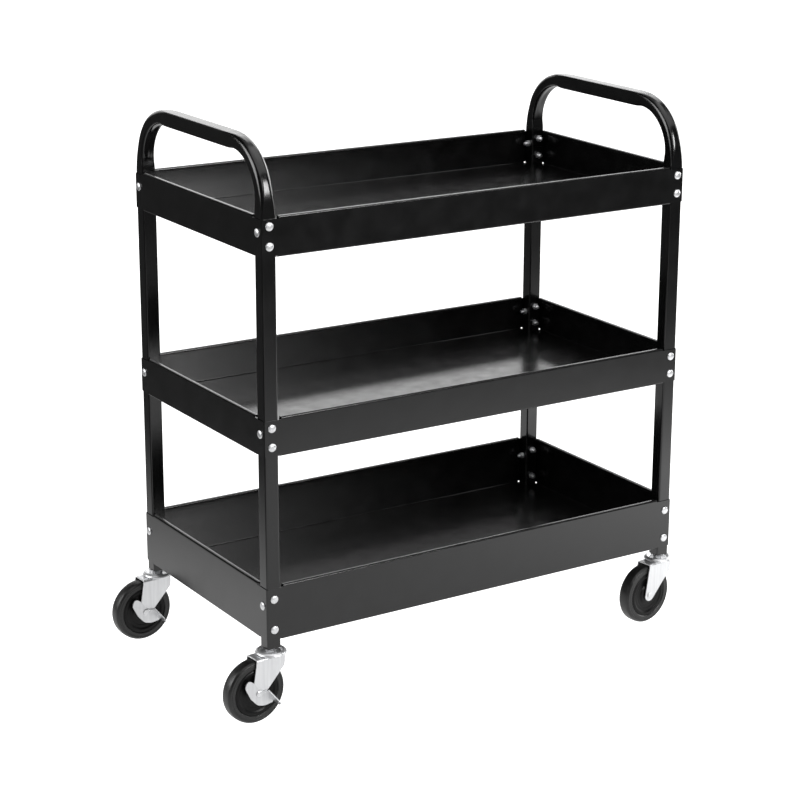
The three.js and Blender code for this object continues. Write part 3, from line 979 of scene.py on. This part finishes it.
def make_casters():
    """A caster under each leg, turned as its joints in the frame stand."""
    joints = {joint["name"]: joint for joint in frame["joints"]}
    fork = fork_mesh()
    lever = lever_mesh()
    stem = mesh_of("caster_stem", stem_shape(), 40)
    nut_base = CUP_DISH + GAP
    nut_height = LEG_BOTTOM - GAP - nut_base
    nut_hole = STEM_RADIUS + GAP
    nut = mesh_of("stem_nut", hexagon_nut(STEM_NUT_FLATS, nut_height, nut_hole, nut_base), 30)
    cup = mesh_of("ball_cup", cup_shape())
    axles = {has_brake: mesh_of("axle", axle_shape(has_brake)) for has_brake in (False, True)}
    sleeve = mesh_of("axle_sleeve", sleeve_shape())
    core = mesh_of("wheel_core", core_shape())
    tyre = mesh_of("tyre", tyre_shape())
    for corner in CORNERS:
        pivot = joints["swivel_" + corner]["pos_m"]
        axis = joints["roll_" + corner]["axis"]
        has_brake = "brake_" + corner in joints
        leg = Matrix.Translation((pivot[0], pivot[1], 0))
        swung = leg @ Matrix.Rotation(math.atan2(-axis[0], axis[1]), 4, "Z")
        hub = swung @ Matrix.Translation((-TRAIL * MM, 0, WHEEL_RADIUS * MM))
        parts = [
            ("caster_stem", stem, ZINC, "cart", "zinc", leg, 0),
            ("stem_nut", nut, ZINC, "cart", "zinc", leg, 0),
            ("ball_cup", cup, ZINC, "cart", "zinc", leg, 0),
            ("fork", fork, ZINC, "fork_" + corner, "zinc", swung, 0.3),
            ("axle", axles[has_brake], ZINC, "fork_" + corner, "zinc", hub, 0),
            ("axle_sleeve", sleeve, STEEL, "fork_" + corner, "steel", hub, 0),
            ("wheel_core", core, PLASTIC, "wheel_" + corner, "black_plastic", hub, 0),
            ("tyre", tyre, RUBBER, "wheel_" + corner, "rubber", hub, 0),
        ]
        if has_brake:
            # the lever's zinc is the fork's zinc darkened as painted shade
            parts.append(("brake_lever", lever, SHADED_LEVER_ZINC, "brake_" + corner, "zinc", hub, 0.35))
        for kind, mesh, material, body, slot, matrix, edge in parts:
            node = f"{kind}_{corner}"
            piece(node + "_fine", mesh, material, body, matrix, node, edge)


def finish_hidden_nodes():
    """Materials for the CAD nodes that stay: the joiners and feet inside the tubes."""
    for name, node in frame["nodes"].items():
        if name.startswith(("tube_joiner", "leg_foot")):
            node.data.materials.clear()
            node.data.materials.append(STEEL)


# ---------------------------------------------------------------- studio, in metres

CAMERA_PLACE = Vector((-1.85412, -2.90237, 1.4348))
CAMERA_AZIMUTH = math.radians(34.3885)  # of the line of sight, from +Y towards +X
CAMERA_FALL = math.radians(16.4819)  # of the line of sight, below the horizon
CAMERA_ROLL = math.radians(0.7917)
PAPER_GLOW = 1.02  # emission that shows as plain white
SHEET_REACH = 60.0
DOME_RADIUS = 54.45
DOME_HEIGHT = 55.0


def make_camera():
    level = math.cos(CAMERA_FALL)
    back = Vector((
        -math.sin(CAMERA_AZIMUTH) * level,
        -math.cos(CAMERA_AZIMUTH) * level,
        math.sin(CAMERA_FALL),
    ))
    right = (-back).cross(Vector((0, 0, 1))).normalized()
    up = back.cross(right)
    turned_right = right * math.cos(CAMERA_ROLL) + up * math.sin(CAMERA_ROLL)
    turned_up = up * math.cos(CAMERA_ROLL) - right * math.sin(CAMERA_ROLL)
    facing = Matrix((turned_right, turned_up, back)).transposed()
    data = bpy.data.cameras.new("camera")
    data.sensor_width = 36
    data.lens = 100.553
    data.shift_x = -0.1
    data.shift_y = -0.01986
    data.clip_end = 200
    camera = bpy.data.objects.new("camera", data)
    scene.collection.objects.link(camera)
    camera.matrix_world = Matrix.Translation(CAMERA_PLACE) @ facing.to_4x4()
    scene.camera = camera


def azimuth_stop(degrees):
    """Place on a radial gradient of a direction, given as degrees from +Y towards +X."""
    return (90 - degrees) / 360 + 0.5


def stage_piece(name, mesh, material, seen_directly):
    """A piece of the stage that is either seen directly, or only lights the cart and mirrors in it."""
    mesh.materials.append(material)
    obj = bpy.data.objects.new(name, mesh)
    scene.collection.objects.link(obj)
    obj.visible_camera = seen_directly
    obj.visible_diffuse = not seen_directly
    obj.visible_glossy = not seen_directly
    obj.visible_transmission = seen_directly
    obj.visible_shadow = False


def paper(name):
    """Matt white paper that still has to be given its glow."""
    recipe = Recipe(name, specular=0.0)
    recipe.colour(recipe.ramp(recipe.noise(0.8), [(0.3, grey(0.58)), (0.7, grey(0.60))]))
    recipe.shader.inputs["Roughness"].default_value = 1.0
    return recipe


def pale_paper():
    """Plain white studio paper, evenly lit."""
    recipe = paper("pale_paper")
    recipe.shader.inputs["Emission Color"].default_value = (1, 1, 1, 1)
    recipe.shader.inputs["Emission Strength"].default_value = PAPER_GLOW
    return recipe.material


def gradient(recipe, kind, place, size=1.0):
    """A gradient texture of this kind and size, at a place on the floor."""
    mapping = recipe.node("ShaderNodeMapping", vector_type="TEXTURE")
    mapping.inputs["Location"].default_value = (*place, 0)
    mapping.inputs["Scale"].default_value = (size, size, size)
    recipe.link(recipe.coordinates, mapping.inputs["Vector"])
    texture = recipe.node("ShaderNodeTexGradient", gradient_type=kind)
    recipe.link(mapping.outputs["Vector"], texture.inputs["Vector"])
    return texture.outputs["Fac"]


def lit_floor():
    """What the cart mirrors of the floor, fixed in the room.

    It glows in a fan that spreads from the point on the floor under the photograph's camera, and it glows
    more in a pool in front of the cart on the right.
    """
    recipe = paper("lit_floor")
    fan = gradient(recipe, "RADIAL", (-1.85, -2.9))
    glow = [(78, 0.0), (61, 0.6), (48, 1.0), (21.5, 1.0), (18, 0.45), (14, 0.0)]
    stops = [(azimuth_stop(degrees), grey(level)) for degrees, level in glow]
    recipe.link(recipe.ramp(fan, stops), recipe.shader.inputs["Emission Color"])
    pool = gradient(recipe, "QUADRATIC_SPHERE", (0.95, -0.8), 1.1)
    strength = recipe.spread(pool, PAPER_GLOW, 3.0, start=0, end=1)
    recipe.link(strength, recipe.shader.inputs["Emission Strength"])
    return recipe.material


def sheet(name):
    """A flat square on the floor, in metres."""
    mesh = bpy.data.meshes.new(name)
    corners = [(SHEET_REACH * x, SHEET_REACH * y, 0) for x, y in ((-1, -1), (1, -1), (1, 1), (-1, 1))]
    mesh.from_pydata(corners, [], [(0, 1, 2, 3)])
    return mesh


def dome(name):
    """Backdrop for low views: a dome that closes the scene above the floor, in metres."""
    steps = 12
    angles = [TAU / 4 * step / steps for step in range(steps + 1)]
    points, faces = turned([(DOME_RADIUS * math.cos(a), DOME_HEIGHT * math.sin(a)) for a in angles], MEDIUM)
    mesh = bpy.data.meshes.new(name)
    mesh.from_pydata(points, [], faces)
    tidy(mesh)
    mesh.shade_smooth()
    return mesh


def make_floor():
    white = pale_paper()
    stage_piece("floor", sheet("floor"), white, True)
    stage_piece("backdrop", dome("backdrop"), white, True)
    stage_piece("floor_light", sheet("floor_light"), lit_floor(), False)


def make_world():
    """Bright bands behind the cart, by the height of the direction looked in, and a dim room elsewhere."""
    world = bpy.data.worlds.new("studio")
    world.use_nodes = True
    tree = world.node_tree
    direction = tree.nodes.new("ShaderNodeTexCoord").outputs["Generated"]
    parts = tree.nodes.new("ShaderNodeSeparateXYZ")
    tree.links.new(direction, parts.inputs["Vector"])
    bands = [
        (0.0, 1.0), (0.15, 2.4), (0.18, 1.8), (0.21, 0.5), (0.25, 1.5), (0.27, 3.6), (0.31, 3.4), (0.33, 0.8),
        (0.36, 0.2), (0.40, 0.2), (0.44, 1.2), (0.50, 1.2), (0.55, 0.01),
    ]
    height = tree.nodes.new("ShaderNodeValToRGB")
    fill_ramp(height, [(position, grey(level)) for position, level in bands])
    tree.links.new(parts.outputs["Z"], height.inputs["Fac"])
    behind = tree.nodes.new("ShaderNodeVectorMath")
    behind.operation = "DOT_PRODUCT"
    behind.inputs[1].default_value = (0.56, 0.83, 0)  # back and to the right
    tree.links.new(direction, behind.inputs[0])
    side = tree.nodes.new("ShaderNodeMapRange")
    side.inputs["From Min"].default_value = 0.55
    side.inputs["From Max"].default_value = 0.85
    tree.links.new(behind.outputs["Value"], side.inputs["Value"])
    blend = tree.nodes.new("ShaderNodeMix")
    blend.data_type = "RGBA"
    blend.inputs["A"].default_value = (0.03, 0.03, 0.03, 1)
    tree.links.new(side.outputs["Result"], blend.inputs["Factor"])
    tree.links.new(height.outputs["Color"], blend.inputs["B"])
    tree.links.new(blend.outputs["Result"], tree.nodes["Background"].inputs["Color"])
    scene.world = world


def area_light(name, place, target, width, height, power, diffuse=True):
    """A soft light aimed at target. Without diffuse it shows only in reflections."""
    data = bpy.data.lights.new(name, "AREA")
    data.shape = "RECTANGLE"
    data.size = width
    data.size_y = height
    data.energy = power
    light = bpy.data.objects.new(name, data)
    scene.collection.objects.link(light)
    light.location = place
    light.rotation_euler = (Vector(target) - Vector(place)).to_track_quat("-Z", "Y").to_euler()
    light.visible_camera = False
    light.visible_diffuse = diffuse


def make_studio():
    make_camera()
    make_floor()
    make_world()
    area_light("top_light", (0.3, 0.3, 3.0), (0, 0, 0.4), 2.4, 1.8, 5)
    area_light("front_light", (-0.9, -3.6, 2.5), (0, 0, 0.5), 1.2, 1.2, 12)
    area_light("front_softbox", (1.0, -3.5, 2.0), (-0.2, 0, 0.7), 1.25, 1.2, 110, diffuse=False)
    area_light("left_softbox", (-4.0, 1.2, 2.0), (0, 0, 0.7), 3.4, 2.5, 170, diffuse=False)
    area_light("right_softbox", (4.2, 0.4, 1.5), (0, 0, 0.7), 4.0, 2.6, 150, diffuse=False)
    area_light("overhead_softbox", (0.2, -0.9, 3.4), (0, 0, 0.7), 4.5, 3.0, 60, diffuse=False)
    area_light("back_softbox", (1.5, 1.9, 2.8), (0, 0, 0.7), 2.6, 1.6, 30, diffuse=False)
    scene.view_settings.view_transform = "Standard"


# ---------------------------------------------------------------- the cart

for tray_name in TRAYS:
    make_tray(tray_name)
for handle_end in ("left", "right"):
    make_handle(handle_end)
for leg_corner in CORNERS:
    make_leg(leg_corner)
make_tray_bolts()
make_casters()
finish_hidden_nodes()
make_studio()
